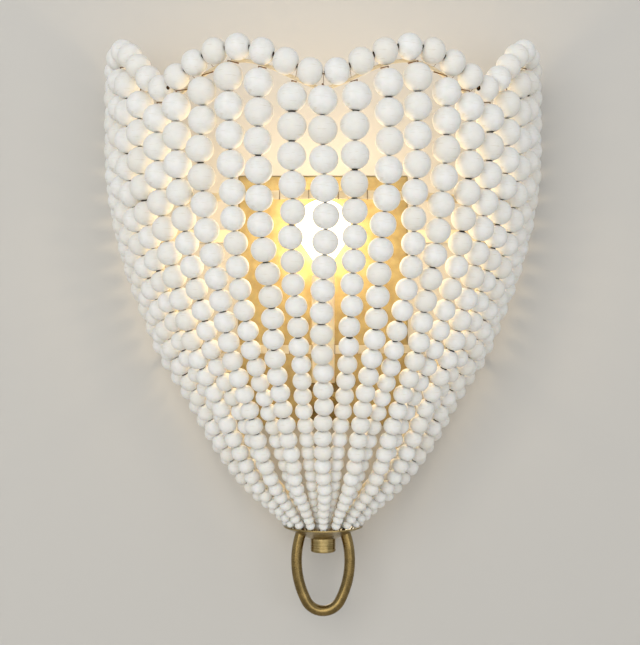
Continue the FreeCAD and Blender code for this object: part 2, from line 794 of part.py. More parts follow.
def make_backplate():
    """A shallow pan with its open side to the wall."""
    body = new_body("backplate")
    wide, tall, deep = dim("plate_wide") / 2, dim("plate_tall") / 2, dim("plate_deep")
    wall = dim("plate_wall")
    face = new_sketch(body, "XZ_Plane")
    draw(face, box_corners(wide, -tall, tall))
    block = pad(body, face, deep)
    doc.recompute()
    edges = ["Edge%d" % (i + 1) for i, edge in enumerate(block.Shape.Edges)
             if abs(edge.CenterOfMass.y + size("plate_deep")) < 0.01
             or abs(edge.CenterOfMass.y + size("plate_deep") / 2) < 0.01]
    rounding = body.newObject("PartDesign::Fillet", "backplate_round")
    rounding.Base = (block, edges)
    rounding.setExpression("Radius", "dims.plate_round")
    hollow = new_sketch(body, "XZ_Plane")
    draw(hollow, box_corners(wide - wall, wall - tall, tall - wall))
    cut_forward(body, hollow, deep - wall)
    holes = new_sketch(body, "XZ_Plane")
    for height in (dim("rail_height"), -dim("rail_height")):
        draw_circle(holes, 0.0, height, dim("stud_hole_radius"))
    draw_circle(holes, 0.0, dim("arm_height"), dim("arm_radius") + dim("fit_gap"))
    cut_forward(body, holes, deep + 1)
    notches = new_sketch(body, "XZ_Plane")
    half = dim("rail_tall") / 2 + 0.5
    for height in (dim("rail_height"), -dim("rail_height")):
        draw(notches, box_corners(wide + 1, height - half, height + half))
    cut_forward(body, notches, dim("rail_wall_gap") + dim("rail_thick") + 0.5)
    parts.append(body)


def slot(sketch, height):
    """An upright slot with round ends, centred at a height."""
    radius, half = dim("slot_radius"), dim("slot_long") / 2 - dim("slot_radius")
    corners = [(radius, height - half), (radius, height + half),
               (-radius, height + half), (-radius, height - half)]
    draw(sketch, corners, {1: (radius, 1, "DistanceY", height + half),
                           3: (radius, 1, "DistanceY", height - half)})


def make_strap():
    body = new_body("mounting_strap")
    sketch = new_sketch(body, "XZ_Plane")
    half = dim("strap_tall") / 2
    draw(sketch, box_corners(dim("strap_wide") / 2, -half, half))
    for sign in (1, -1):
        draw_circle(sketch, 0.0, dim("rail_height") * sign, dim("stud_radius") + dim("fit_gap"))
        slot(sketch, dim("box_screw_spacing") / 2 * sign)
    draw_circle(sketch, 0.0, dim("ground_height"), dim("stud_radius") + dim("fit_gap"))
    pad(body, sketch, dim("strap_thick"))
    parts.append(body)


def hexagon(radius):
    corners = []
    for i in range(6):
        turn = math.radians(60 * i)
        corners.append((radius * round(math.cos(turn), 6), radius * round(math.sin(turn), 6)))
    return corners


def nut(label, radius, bore, thick, y, z):
    """A hexagon nut on an axis that points at the wall."""
    body = new_body(label, None, y, z)
    sketch = new_sketch(body, "XZ_Plane")
    draw(sketch, hexagon(radius))
    draw_circle(sketch, 0.0, 0.0, bore)
    pad(body, sketch, thick)
    return body


def make_fixings():
    """Studs, nuts, cap nuts and the earth screw, all on the strap's middle line."""
    studs, nuts, caps = [], [], []
    stud = dim("stud_radius")
    bore = stud + dim("fit_gap")
    deep, collar, ball = dim("plate_deep"), dim("cap_collar"), dim("cap_radius")
    for name, sign in (("upper", 1), ("lower", -1)):
        height = dim("rail_height") * sign
        studs.append(turned(name + "_stud", disc_corners(stud, -dim("stud_long"), 0.0),
                            plane="XY_Plane", z=height, keep=False))
        seat = -(dim("rail_wall_gap") + dim("rail_thick"))
        nuts.append(nut(name + "_nut", dim("nut_radius"), bore, dim("nut_thick"), seat, height))
        end = collar + ball
        corners = [(bore, 0.0), (bore, -end + 1.6), (0.0, -end + 1.6), (0.0, -end),
                   (ball, -collar), (ball, 0.0)]
        caps.append(turned(name + "_cap", corners, {3: (ball, 1, "DistanceX", 0.0)},
                           plane="XY_Plane", y=-deep, z=height, keep=False))
    group("strap_studs", studs)
    group("rail_nuts", nuts)
    group("cap_nuts", caps)
    head = dim("screw_head_radius")
    thick = dim("strap_thick")
    low = -thick - dim("screw_head_thick")
    turned("ground_screw", [(0.0, low), (head - 0.8, low), (head, low + 0.8), (head, -thick),
                            (stud, -thick), (stud, 0.0), (0.0, 0.0)],
           plane="XY_Plane", z=dim("ground_height"))


def arm_path(sketch, start, shift=0.0):
    """From the plate straight out, round a quarter bend and up to the candle."""
    bend, reach = dim("arm_bend"), dim("candle_reach")
    level = dim("arm_height")
    draw(sketch, [(-start, level), (bend - reach, level), (-reach, level + bend),
                  (-reach, dim("arm_top") + shift)], {1: (bend, -1)}, False)


def swept(label, circles, start, shift=0.0, keep=True):
    """A round bar or tube along the arm's path; circles give x, z and radius."""
    body = new_body(label)
    path = new_sketch(body, "YZ_Plane")
    arm_path(path, start, shift)
    section = new_sketch(body, "XZ_Plane")
    section.AttachmentOffset = FreeCAD.Placement(Vector(0, 0, number(start)), FreeCAD.Rotation())
    for x, radius in circles:
        draw_circle(section, x, dim("arm_height"), radius)
    doc.recompute()
    sweep = body.newObject("PartDesign::AdditivePipe", label + "_sweep")
    sweep.Profile = section
    sweep.Spine = path
    sweep.Mode = "Frenet"
    if keep:
        parts.append(body)
    return body


def make_arm():
    start = dim("arm_start")
    arm, bore = dim("arm_radius"), dim("arm_bore_radius")
    swept("lamp_arm", [(0.0, arm), (0.0, bore)], start)
    offset, lead = dim("lead_offset"), dim("lead_radius")
    drop = dim("holder_base") - dim("arm_top")
    group("lamp_leads", [swept("left_lead", [(-offset, lead)], start, drop, False),
                         swept("right_lead", [(offset, lead)], start, drop, False)])
    hole = arm + dim("fit_gap")
    thick, wide = dim("rosette_thick"), dim("rosette_radius")
    turned("arm_rosette", [(hole, 0.0), (hole, -thick), (hole + 3, -thick), (wide, -1.5),
                           (wide, 0.0)], plane="XY_Plane", y=-dim("plate_deep"),
           z=dim("arm_height"))
    seat = dim("plate_wall") - dim("plate_deep") + dim("nut_thick")
    parts.append(nut("arm_nut", dim("arm_nut_radius"), hole, dim("nut_thick"), seat,
                     dim("arm_height")))


def make_candle():
    """Cup, sleeve, lampholder and its contacts, on the candle's upright axis."""
    reach = -dim("candle_reach")
    hole = dim("arm_radius") + dim("fit_gap")
    base, wall = dim("cup_base"), dim("sheet_thick")
    edge, lip = dim("cup_radius"), dim("cup_base") + dim("cup_tall")
    floor = base + wall
    turned("candle_cup", [(hole, base), (edge - 4, base), (edge, lip), (edge - wall, lip),
                          (edge - 5, floor), (hole, floor)], y=reach)
    turned("cup_locknut", ring_corners(hole, dim("arm_nut_radius"), floor, floor + 2.5), y=reach)
    sleeve = dim("sleeve_radius")
    turned("candle_sleeve", ring_corners(sleeve - dim("sleeve_thick"), sleeve, floor,
                                         dim("sleeve_top")), y=reach)
    make_leg(floor + 2.5)
    holder, bore = dim("holder_radius"), dim("holder_bore")
    low, high, deck = dim("holder_base"), dim("holder_top"), dim("holder_floor")
    turned("lampholder_body", [(0.0, low), (holder - 1.5, low), (holder, low + 1.5),
                               (holder, high), (bore, high), (bore, deck), (0.0, deck)], y=reach)
    turned("screw_shell", ring_corners(dim("shell_bore"), dim("shell_radius"), deck,
                                       high - 0.5), y=reach)
    turned("centre_contact", disc_corners(dim("contact_radius"), deck, dim("contact_top")),
           y=reach)


def make_leg(seat):
    """A bent strip that stands on the arm's end and carries the lampholder."""
    body = new_body("holder_leg", None, -dim("candle_reach"), None)
    foot = new_sketch(body, "XY_Plane")
    foot.AttachmentOffset = FreeCAD.Placement(Vector(0, 0, number(seat)), FreeCAD.Rotation())
    foot.setExpression("AttachmentOffset.Base.z", seat.text)
    draw_circle(foot, 0.0, 0.0, dim("holder_radius") - 0.2)
    draw_circle(foot, 0.0, 0.0, dim("arm_radius") + dim("fit_gap"))
    pad(body, foot, dim("sheet_thick"))
    doc.recompute()
    strip = new_sketch(body, "XY_Plane")
    strip.AttachmentOffset = foot.AttachmentOffset
    strip.setExpression("AttachmentOffset.Base.z", seat.text)
    half = dim("leg_wide") / 2
    inner, outer = dim("arm_radius") + 0.4, dim("arm_radius") + 1.6
    draw(strip, [(inner, -half), (outer, -half), (outer, half), (inner, half)])
    pad(body, strip, dim("holder_base") - seat)
    parts.append(body)


def make_bulb():
    """Frosted lamp on the candle's axis: glass, cap, insulator and tip."""
    reach = -dim("candle_reach")
    radius, middle, wall = dim("bulb_radius"), dim("bulb_middle"), dim("glass_thick")
    lean = math.radians(35)
    across, down = round(math.cos(lean), 6), round(math.sin(lean), 6)
    inside = radius - wall
    neck = dim("cap_shell_radius") - 0.35
    foot, collar = dim("cap_shell_top") - 3, dim("cap_shell_top") + 2.5
    corners = [(0.0, middle + radius), (0.0, middle + inside),
               (inside * across, middle - inside * down), (-wall + 9.0, middle - 29.3),
               (-wall + 7.0, collar), (neck - wall, dim("cap_shell_top")), (neck - wall, foot),
               (neck, foot), (neck, dim("cap_shell_top")), (7.0, collar), (9.0, middle - 29.3),
               (radius * across, middle - radius * down)]
    turned("bulb_glass", corners, {1: (inside, -1, "DistanceX", 0.0),
                                   11: (radius, 1, "DistanceX", 0.0)}, y=reach)
    cap, base, top = dim("cap_shell_radius"), dim("cap_shell_base"), dim("cap_shell_top")
    turned("bulb_cap", ring_corners(cap - 0.3, cap, base, top), y=reach)
    tip = dim("tip_base")
    turned("bulb_insulator", [(0.0, tip + 0.8), (2.4, tip + 0.8), (cap - 0.3, base),
                              (cap - 0.3, base + 1.5), (0.0, base + 1.5)], y=reach)
    turned("bulb_tip", [(0.0, tip), (1.6, tip), (2.2, tip + 0.8), (0.0, tip + 0.8)], y=reach)


def check_parts():
    for item in doc.Objects:
        if "Invalid" in item.State or "Error" in item.State:
            raise RuntimeError("failed: " + item.Label)
    for item in parts:
        if item.Shape.isNull() or not item.Shape.isValid() or not item.Shape.Solids:
            raise RuntimeError("bad shape: " + item.Label)


def write_parts():
    os.makedirs("parts", exist_ok=True)
    for item in parts:
        item.Shape.exportStep("parts/%s.step" % item.Label)
    print("parts", len(parts), "solids", sum(len(item.Shape.Solids) for item in parts))


fill_sheet()
rim_spots, rim_tie_wires = make_rim(rim_bead_angles())
make_strands(rim_spots)
make_frame(rim_tie_wires)
make_dish()
make_backplate()
make_strap()
make_fixings()
make_arm()
make_candle()
make_bulb()
doc.recompute()
check_parts()
write_parts()
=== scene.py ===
import math
import random
from collections import namedtuple

import bpy
import numpy as np
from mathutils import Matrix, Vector


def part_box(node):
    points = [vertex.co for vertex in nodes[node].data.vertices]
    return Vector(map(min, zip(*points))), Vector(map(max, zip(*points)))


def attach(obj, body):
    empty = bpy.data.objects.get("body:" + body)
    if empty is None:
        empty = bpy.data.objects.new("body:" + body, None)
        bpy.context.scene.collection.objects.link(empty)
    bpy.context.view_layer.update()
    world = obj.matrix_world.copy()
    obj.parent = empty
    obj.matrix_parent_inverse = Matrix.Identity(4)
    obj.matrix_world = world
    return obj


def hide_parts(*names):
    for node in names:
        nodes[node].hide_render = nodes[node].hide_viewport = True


# Beaded wall light. The frame is in metres: X to the right, Y into the wall, Z up, and the
# origin is the middle of the backplate's back. Sizes below are millimetres unless they say so.

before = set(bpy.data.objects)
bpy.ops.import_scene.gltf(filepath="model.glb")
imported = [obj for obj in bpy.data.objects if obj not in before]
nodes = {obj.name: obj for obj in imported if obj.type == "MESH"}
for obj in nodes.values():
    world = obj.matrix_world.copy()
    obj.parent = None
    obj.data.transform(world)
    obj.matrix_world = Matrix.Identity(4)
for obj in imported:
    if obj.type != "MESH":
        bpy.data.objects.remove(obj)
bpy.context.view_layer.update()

MM = 0.001
FULL_TURN = 2 * math.pi

# The camera stands in front of the wall at about the height of the lampholder.
CAMERA_PLACE = (-2.8, -1198.0, -20.0)
VIEW_WIDE = 595.2
SENSOR_WIDE = 36.0
CAMERA_REACH = 50000.0

# Wall and floor, which are part of the studio.
STUDIO_REACH = 4000.0
FLOOR_HEIGHT = -620.0
WALL_BEHIND = 0.6
WALL_COLOUR = "C9C6C0"
FLOOR_COLOUR = "D2CFC9"
SKY_COLOUR = "E6E8EB"
SKY_STRENGTH = 0.75

# Studio lamps: place, the point they are aimed at, width, watts and colour. The back lamp
# reaches the back through the wall, which is there for the front views only.
STUDIO_LAMPS = {
    "key_lamp": ((-800, -2500, 500), (0, -100, 0), 2200, 25, "FFFEFB"),
    "fill_lamp": ((900, -2400, -600), (0, -100, -100), 2200, 18, "F8FAFF"),
    "back_lamp": ((-800, 2400, 900), (0, 0, 0), 1500, 12, "FFFFFF"),
}

# The lit lamp: a glowing ball inside the glass, with its middle this far under the glass's top.
GLOW_WATTS = 0.58
GLOW_COLOUR = "FFE3BC"
GLOW_RADIUS = 22.0
GLOW_DROP = 24.0

# Points around a bead, and rings of points on its skin from one mouth of the bore to the other.
BEAD_SIDES = 24
BEAD_RINGS = 13
CORD_SIDES = 10

# Radius of the bore in the CAD bead, which is where the arc of the skin would end.
BORE_RADIUS = 1.6

# A rounded lip leads from the skin into the mouth. It is at most a share of the mouth. The edge
# of the mouth and the narrower waist of the bore lie this many lips in.
LIP = 0.35
LIP_SHARE = 0.3
EDGE_DEPTH = 0.6
WAIST_DEPTH = 3
WAIST_SHARE = 0.9

# Least and most radius of a mouth as a share of the bead's. Some of the beads above a certain
# radius have a wide one. The cord that shows between two beads, nearly black as painted shade,
# is a share of the mouth.
WIDE_MOUTH = (0.22, 0.3)
USUAL_MOUTH = (0.12, 0.15)
RIM_MOUTH = (0.15, 0.19)
WIDE_CHANCE = 0.35
WIDE_FROM = 7.0
CORD_SHARE = 0.8

# Unevenness of a bead: how far its bore leans, as a slope, and as shares of the bead how much
# narrower it may be across and how deep the three waves are that dent its skin.
BEAD_LEAN = 0.05
BEAD_SQUASH = 0.012
BEAD_DENT = 0.004

# Sideways play of a bead on its string: a share of the gap to the next string, with the most it
# may be, and how far its slow wave turns from one bead to the next, in radians.
PLAY_SHARE = 0.46
PLAY_MOST = 2.0
PLAY_TURN = 0.8

# The paint's pattern is shifted by up to this from bead to bead, so that no two look alike.
PATTERN_SHIFT = 40

# The points of a solid are rounded to this, so that doubles become one.
SAME_POINT = 0.001

Bead = namedtuple("Bead", "centre way radius half")

chance = random.Random(7)


def linear(code):
    """An sRGB hex colour as the linear RGBA that a shader takes."""
    channels = []
    for i in (0, 2, 4):
        value = int(code[i:i + 2], 16) / 255
        channels.append(value / 12.92 if value <= 0.04045 else ((value + 0.055) / 1.055) ** 2.4)
    return (*channels, 1.0)


# Finishes. A Mix node of colours takes its share, first and second colour at inputs 0, 6 and 7,
# and gives the mixed colour at output 2.

class Finish:
    """One material with its node tree and main shader."""

    def __init__(self, name, **values):
        self.material = bpy.data.materials.new(name)
        self.material.use_nodes = True
        self.tree = self.material.node_tree
        self.shader = self.tree.nodes["Principled BSDF"]
        self.feed(self.shader, {key.replace("_", " "): values[key] for key in values})

    def feed(self, node, inputs):
        """Gives each input its value, or the socket that feeds it."""
        for name, value in inputs.items():
            if isinstance(value, bpy.types.NodeSocket):
                self.tree.links.new(value, node.inputs[name])
            else:
                node.inputs[name].default_value = value

    def add(self, kind, inputs=None, **settings):
        """Adds a node with its settings and inputs."""
        node = self.tree.nodes.new(kind)
        for name, value in settings.items():
            setattr(node, name, value)
        self.feed(node, inputs or {})
        return node


def blotches(finish, wide, stretch=(1, 1, 1), detail=2.0):
    """Soft blotches about this many millimetres wide, where a stretch under 1 draws them out."""
    place = finish.add("ShaderNodeTexCoord").outputs["Object"]
    drawn = finish.add("ShaderNodeVectorMath", {0: place, 1: stretch}, operation="MULTIPLY")
    noise = finish.add("ShaderNodeTexNoise",
                       {"Vector": drawn.outputs[0], "Scale": 1 / (wide * MM), "Detail": detail})
    return noise.outputs[0]


def mottle(finish, tone, other_tone, wide):
    """Colours a finish in soft blotches of two tones."""
    mixed = finish.add("ShaderNodeMix",
                       {0: blotches(finish, wide), 6: linear(tone), 7: linear(other_tone)},
                       data_type="RGBA")
    finish.feed(finish.shader, {"Base Color": mixed.outputs[2]})


def roughen(finish, wide, deep, strength):
    """Raises fine bumps of this width and depth in millimetres."""
    raised = finish.add("ShaderNodeBump", {"Height": blotches(finish, wide),
                                           "Distance": deep * MM, "Strength": strength})
    finish.feed(finish.shader, {"Normal": raised.outputs[0]})


def chalk_paint():
    """Chalk paint brushed on turned wooden beads: dead matt, with faint turning lines, thin
    places that let a warmer tone through, and a slightly different white on each bead."""
    finish = Finish("chalk_paint_on_turned_wood", Roughness=0.78, IOR=1.45,
                    Subsurface_Weight=0.25, Subsurface_Radius=(1.0, 0.75, 0.5),
                    Subsurface_Scale=3.0 * MM)
    patch_wide = 7.0
    # Turning lines about 0.5 mm apart are drawn 1 mm apart so that they show.
    line_apart = 1.0
    grit_wide = 0.9
    grit_deep = 0.12
    # The place on each bead is in millimetres, with the third number along its bore.
    place = finish.add("ShaderNodeAttribute", attribute_name="bead_place").outputs["Vector"]
    tone = finish.add("ShaderNodeAttribute", attribute_name="bead_tone").outputs["Fac"]
    patches = finish.add("ShaderNodeTexNoise",
                         {"Vector": place, "Scale": 1 / patch_wide, "Detail": 3.0}).outputs[0]
    thin = finish.add("ShaderNodeMapRange",
                      {"Value": patches, "From Min": 0.38, "From Max": 0.68}).outputs[0]
    brushed = finish.add("ShaderNodeMix", {0: thin, 6: linear("F0EFEC"), 7: linear("E6E6E1")},
                         data_type="RGBA").outputs[2]
    white = finish.add("ShaderNodeMix", {0: tone, 6: brushed, 7: linear("EAE7DF")},
                       data_type="RGBA").outputs[2]
    drawn = finish.add("ShaderNodeVectorMath", {0: place, 1: (0.12, 0.12, 1.0)},
                       operation="MULTIPLY").outputs[0]
    lines = finish.add("ShaderNodeTexNoise",
                       {"Vector": drawn, "Scale": 1 / line_apart, "Detail": 2.0}).outputs[0]
    scratches = finish.add("ShaderNodeMapRange",
                           {"Value": lines, "From Min": 0.6, "From Max": 0.74}).outputs[0]
    worn = finish.add("ShaderNodeMix", {0: scratches, 6: white, 7: linear("DDD8CC")},
                      data_type="RGBA").outputs[2]
    grit = finish.add("ShaderNodeTexNoise",
                      {"Vector": place, "Scale": 1 / grit_wide, "Detail": 3.0}).outputs[0]
    skin = finish.add("ShaderNodeMath", {0: grit, 1: lines}, operation="ADD").outputs[0]
    raised = finish.add("ShaderNodeBump",
                        {"Height": skin, "Distance": grit_deep * MM, "Strength": 0.5})
    finish.feed(finish.shader, {"Base Color": worn, "Normal": raised.outputs[0]})
    return finish.material


def bore_wood_and_painted_shade():
    """Bare beech inside a bead's bore: dull, and darker than the paint, with painted shade
    deepening it to dark brown so that the holes read dark.
    """
    finish = Finish("bore_wood_with_painted_shade", Roughness=0.9)
    # Both browns are deepened as painted shade inside the holes.
    mottle(finish, "3A2E22", "5B4834", wide=1.5)
    return finish.material


def painted_shade_cord():
    """Cord that fills the bores, nearly black: painted shade in the gaps between two beads."""
    finish = Finish("cord_dark_as_painted_shade", Roughness=0.7)
    # Nearly black: painted shade in the gaps between beads.
    mottle(finish, "2A241D", "463A2C", wide=0.8)
    return finish.material


def antique_brass(name, light, dark, smoothest, roughest):
    """Brass aged in a bath and rubbed back: brown-gold, cloudy, with a soft wide highlight."""
    finish = Finish(name, Metallic=1.0)
    cloud_wide = 9.0
    # Rubbing marks 0.1 mm wide are drawn 0.5 mm wide so that they show.
    mark_wide = 0.5
    mark_deep = 0.02
    clouds = finish.add("ShaderNodeMapRange",
                        {"Value": blotches(finish, cloud_wide, detail=4.0),
                         "From Min": 0.35, "From Max": 0.68}).outputs[0]
    cloudy = finish.add("ShaderNodeMix", {0: clouds, 6: linear(light), 7: linear(dark)},
                        data_type="RGBA")
    marks = blotches(finish, mark_wide, (0.15, 0.15, 1.0))
    rubbed = finish.add("ShaderNodeMapRange",
                        {"Value": marks, "From Min": 0.3, "From Max": 0.7,
                         "To Min": smoothest, "To Max": roughest})
    raised = finish.add("ShaderNodeBump",
                        {"Height": marks, "Distance": mark_deep * MM, "Strength": 0.2})
    finish.feed(finish.shader, {"Base Color": cloudy.outputs[2], "Roughness": rubbed.outputs[0],
                                "Normal": raised.outputs[0]})
    return finish.material


def turned_brass():
    """The same aged brass cut on a lathe: paler, with fine rings that catch the light."""
    finish = Finish("turned_antique_brass", Metallic=1.0)
    cloud_wide = 6.0
    # Tool marks 0.2 mm apart are drawn 0.6 mm apart so that they show.
    ring_apart = 0.6
    ring_deep = 0.03
    clouds = finish.add("ShaderNodeMapRange", {"Value": blotches(finish, cloud_wide),
                                               "From Min": 0.35, "From Max": 0.68}).outputs[0]
    rings = blotches(finish, ring_apart, (0.02, 0.02, 1.0))
    cloudy = finish.add("ShaderNodeMix", {0: clouds, 6: linear("AD9664"), 7: linear("8E7C4F")},
                        data_type="RGBA").outputs[2]
    bright = finish.add("ShaderNodeMapRange",
                        {"Value": rings, "From Min": 0.5, "From Max": 0.75}).outputs[0]
    cut = finish.add("ShaderNodeMix", {0: bright, 6: cloudy, 7: linear("CDB886")},
                     data_type="RGBA")
    gloss = finish.add("ShaderNodeMapRange", {"Value": rings, "From Min": 0.3, "From Max": 0.7,
                                              "To Min": 0.24, "To Max": 0.36})
    raised = finish.add("ShaderNodeBump",
                        {"Height": rings, "Distance": ring_deep * MM, "Strength": 0.4})
    finish.feed(finish.shader, {"Base Color": cut.outputs[2], "Roughness": gloss.outputs[0],
                                "Normal": raised.outputs[0]})
    return finish.material


def cream_enamel():
    """Cream enamel sprayed on steel wire and band: smooth, with a faint orange peel."""
    finish = Finish("cream_enamel_on_steel", Roughness=0.42, IOR=1.5)
    mottle(finish, "EFE3C8", "E2D3B2", wide=12.0)
    roughen(finish, wide=1.2, deep=0.03, strength=0.4)
    return finish.material


def bronze_wire():
    """Annealed binding wire, dull brown with lighter rubbed places."""
    finish = Finish("annealed_bronze_wire", Metallic=1.0, Roughness=0.5)
    mottle(finish, "8A6238", "5A4024", wide=3.0)
    return finish.material


def zinc_plate():
    """Zinc-plated steel: pale grey with a faint mottled spangle."""
    finish = Finish("zinc_plated_steel", Metallic=1.0)
    spangle_wide = 4.0
    spangle = finish.add("ShaderNodeTexVoronoi", {"Scale": 1 / (spangle_wide * MM)}).outputs[0]
    grey = finish.add("ShaderNodeMix", {0: spangle, 6: linear("C3C6C9"), 7: linear("A4A8AC")},
                      data_type="RGBA")
    gloss = finish.add("ShaderNodeMapRange", {"Value": spangle, "To Min": 0.34, "To Max": 0.46})
    finish.feed(finish.shader, {"Base Color": grey.outputs[2], "Roughness": gloss.outputs[0]})
    return finish.material


def green_screw():
    """Green lacquer on a steel screw, the colour that marks the earth."""
    finish = Finish("green_lacquered_steel", Metallic=0.3, Roughness=0.35)
    mottle(finish, "3F8450", "2F6A3F", wide=2.0)
    return finish.material


def ivory_sleeve():
    """Matt ivory plastic sleeve that passes for a candle: even, slightly mottled."""
    finish = Finish("moulded_ivory_sleeve", Roughness=0.55, Subsurface_Weight=0.2,
                    Subsurface_Scale=1.5 * MM)
    mottle(finish, "F1E7CE", "E6D9BA", wide=5.0)
    roughen(finish, wide=0.8, deep=0.02, strength=0.3)
    return finish.material


def lit_glass():
    """Frosted lamp glass with the lamp on: golden near its foot, warm white above."""
    finish = Finish("frosted_lamp_glass_lit", Roughness=0.5, Emission_Strength=3.0)
    golden_height = 22.0
    white_height = 45.0
    place = finish.add("ShaderNodeTexCoord").outputs["Object"]
    height = finish.add("ShaderNodeSeparateXYZ", {0: place}).outputs[2]
    share = finish.add("ShaderNodeMapRange", {"Value": height, "From Min": golden_height * MM,
                                              "From Max": white_height * MM}).outputs[0]
    glow = finish.add("ShaderNodeMix", {0: share, 6: linear("FFD98F"), 7: linear("FFEFC6")},
                      data_type="RGBA")
    skin = finish.add("ShaderNodeMix", {0: share, 6: linear("FFF3D6"), 7: linear("FFFAF0")},
                      data_type="RGBA")
    finish.feed(finish.shader, {"Emission Color": glow.outputs[2], "Base Color": skin.outputs[2]})
    return finish.material


def lamp_brass():
    """Bright drawn brass of the lamp's cap and the holder's shell."""
    finish = Finish("bright_drawn_brass", Metallic=1.0, Roughness=0.25)
    mottle(finish, "D6B468", "B99248", wide=2.0)
    return finish.material


def tin_solder():
    """Solder on the lamp's tip: dull grey with a slightly lumpy skin."""
    finish = Finish("tin_solder", Metallic=1.0, Roughness=0.45)
    mottle(finish, "B3B4B6", "8E9093", wide=1.0)
    roughen(finish, wide=0.8, deep=0.05, strength=0.5)
    return finish.material


def black_glass():
    """Black glass ring between the lamp's cap and its tip: glossy."""
    finish = Finish("black_vitrite", Roughness=0.12)
    mottle(finish, "16151A", "242228", wide=2.0)
    return finish.material


def porcelain():
    """Unglazed white porcelain of the lampholder: fine grit, no gloss."""
    finish = Finish("unglazed_porcelain", Roughness=0.65)
    mottle(finish, "F0EEE8", "E2DFD6", wide=3.0)
    roughen(finish, wide=0.6, deep=0.03, strength=0.4)
    return finish.material


def lead_insulation():
    """Braided sleeve on the two leads: pale, with a fine crossing weave."""
    finish = Finish("braided_lead_sleeve", Roughness=0.8)
    weave_wide = 0.8
    weave_deep = 0.1
    weave = finish.add("ShaderNodeTexVoronoi", {"Scale": 1 / (weave_wide * MM)}).outputs[0]
    thread = finish.add("ShaderNodeMix", {0: weave, 6: linear("EAE6DC"), 7: linear("C9C3B4")},
                        data_type="RGBA")
    raised = finish.add("ShaderNodeBump",
                        {"Height": weave, "Distance": weave_deep * MM, "Strength": 0.5})
    finish.feed(finish.shader, {"Base Color": thread.outputs[2], "Normal": raised.outputs[0]})
    return finish.material


def plaster(name, code):
    """Plain pale plaster of the studio, open from behind so that the back can be looked at."""
    finish = Finish(name, Roughness=0.9, Base_Color=linear(code))
    back = finish.add("ShaderNodeNewGeometry").outputs["Backfacing"]
    clear = finish.add("ShaderNodeBsdfTransparent").outputs[0]
    mixed = finish.add("ShaderNodeMixShader", {0: back, 1: finish.shader.outputs[0], 2: clear})
    finish.feed(finish.tree.nodes["Material Output"], {"Surface": mixed.outputs[0]})
    return finish.material


# Reading the CAD beads.

def mesh_points(node):
    """A node's points with doubles merged, and its triangles as rows of point numbers."""
    mesh = nodes[node].data
    places = np.empty(len(mesh.vertices) * 3)
    mesh.vertices.foreach_get("co", places)
    mesh.calc_loop_triangles()
    corners = np.empty(len(mesh.loop_triangles) * 3, dtype=np.int64)
    mesh.loop_triangles.foreach_get("vertices", corners)
    keys = np.round(places.reshape(-1, 3) / (SAME_POINT * MM)).astype(np.int64)
    points, where = np.unique(keys, axis=0, return_inverse=True)
    return points * SAME_POINT * MM, where.reshape(-1)[corners].reshape(-1, 3)


def separate_solids(node):
    """The points of each separate solid in a node. Each point takes the lowest number that it
    can reach along the triangles, until none changes."""
    points, faces = mesh_points(node)
    label = np.arange(len(points))
    while True:
        least = label[faces].min(axis=1)
        fresh = label.copy()
        for column in range(3):
            np.minimum.at(fresh, faces[:, column], least)
        fresh = fresh[fresh]
        if np.array_equal(fresh, label):
            break
        label = fresh
    return [points[label == one] for one in np.unique(label)]


def neighbours(places, i):
    """The places before and after one in a row, or its own at an end."""
    return places[max(i - 1, 0)], places[min(i + 1, len(places) - 1)]


def bead_chain(node, order):
    """The beads of a node in order: centre, direction of the bore, radius, half thickness."""
    clouds = sorted(separate_solids(node),
                    key=lambda points: order(points.min(0) + points.max(0)))
    centres = [(points.min(0) + points.max(0)) / 2 for points in clouds]
    chain = []
    for i, points in enumerate(clouds):
        before, after = neighbours(centres, i)
        way = before - after
        way /= np.linalg.norm(way)
        offsets = points - centres[i]
        heights = offsets @ way
        reaches = np.linalg.norm(offsets - np.outer(heights, way), axis=1)
        chain.append(Bead(Vector(centres[i]), Vector(way), reaches.max(), heights.max()))
    return chain


def sideways_room(bead, centres, radii):
    """How far a bead may move to a side, given the beads of the other strings."""
    reach = np.linalg.norm(centres - np.array(bead.centre), axis=1)
    string_gap = (reach - radii).min() - bead.radius
    wall_gap = -bead.centre.y - bead.radius
    return min(PLAY_SHARE * min(string_gap, wall_gap), PLAY_MOST * MM)


def threaded(chain, places):
    """The beads of a chain at new places, each with its bore in line with its neighbours."""
    beads = []
    for i, bead in enumerate(chain):
        before, after = neighbours(places, i)
        beads.append(Bead(places[i], (before - after).normalized(), bead.radius, bead.half))
    return beads


def loosen(chains):
    """Moves beads sideways within their gaps, as on strings hung by hand. The first and last
    string and the ends of each string stay."""
    owner = np.array([k for k, chain in enumerate(chains) for _ in chain])
    centres = np.array([bead.centre for chain in chains for bead in chain])
    radii = np.array([bead.radius for chain in chains for bead in chain])
    loose = []
    for k, chain in enumerate(chains):
        others = owner != k
        phase = chance.uniform(0, FULL_TURN)
        places = []
        for i, bead in enumerate(chain):
            drift = (math.sin(phase + PLAY_TURN * i) + chance.uniform(-1, 1)) / 2
            held = i in (0, len(chain) - 1) or k in (0, len(chains) - 1)
            step = 0 if held else drift * sideways_room(bead, centres[others], radii[others])
            side = Vector((-bead.centre.y, bead.centre.x, 0)).normalized()
            places.append(bead.centre + side * step)
        loose.append(threaded(chain, places))
    return loose


# Making the beads.

def across(way):
    """Two directions square to a way and to each other."""
    way = way.normalized()
    # Any direction well off the way will do to start from.
    side = Vector((1, 0, 0)) if abs(way.x) < 0.9 else Vector((0, 1, 0))
    first = (side - way * side.dot(way)).normalized()
    return first, way.cross(first)


def ring_faces(rings, sides, start=0, closed=False):
    """Quads between rings of points that follow each other."""
    faces = []
    for i in range(rings if closed else rings - 1):
        here = start + i * sides
        there = start + (i + 1) % rings * sides
        for j in range(sides):
            k = (j + 1) % sides
            faces.append((here + j, here + k, there + k, there + j))
    return faces


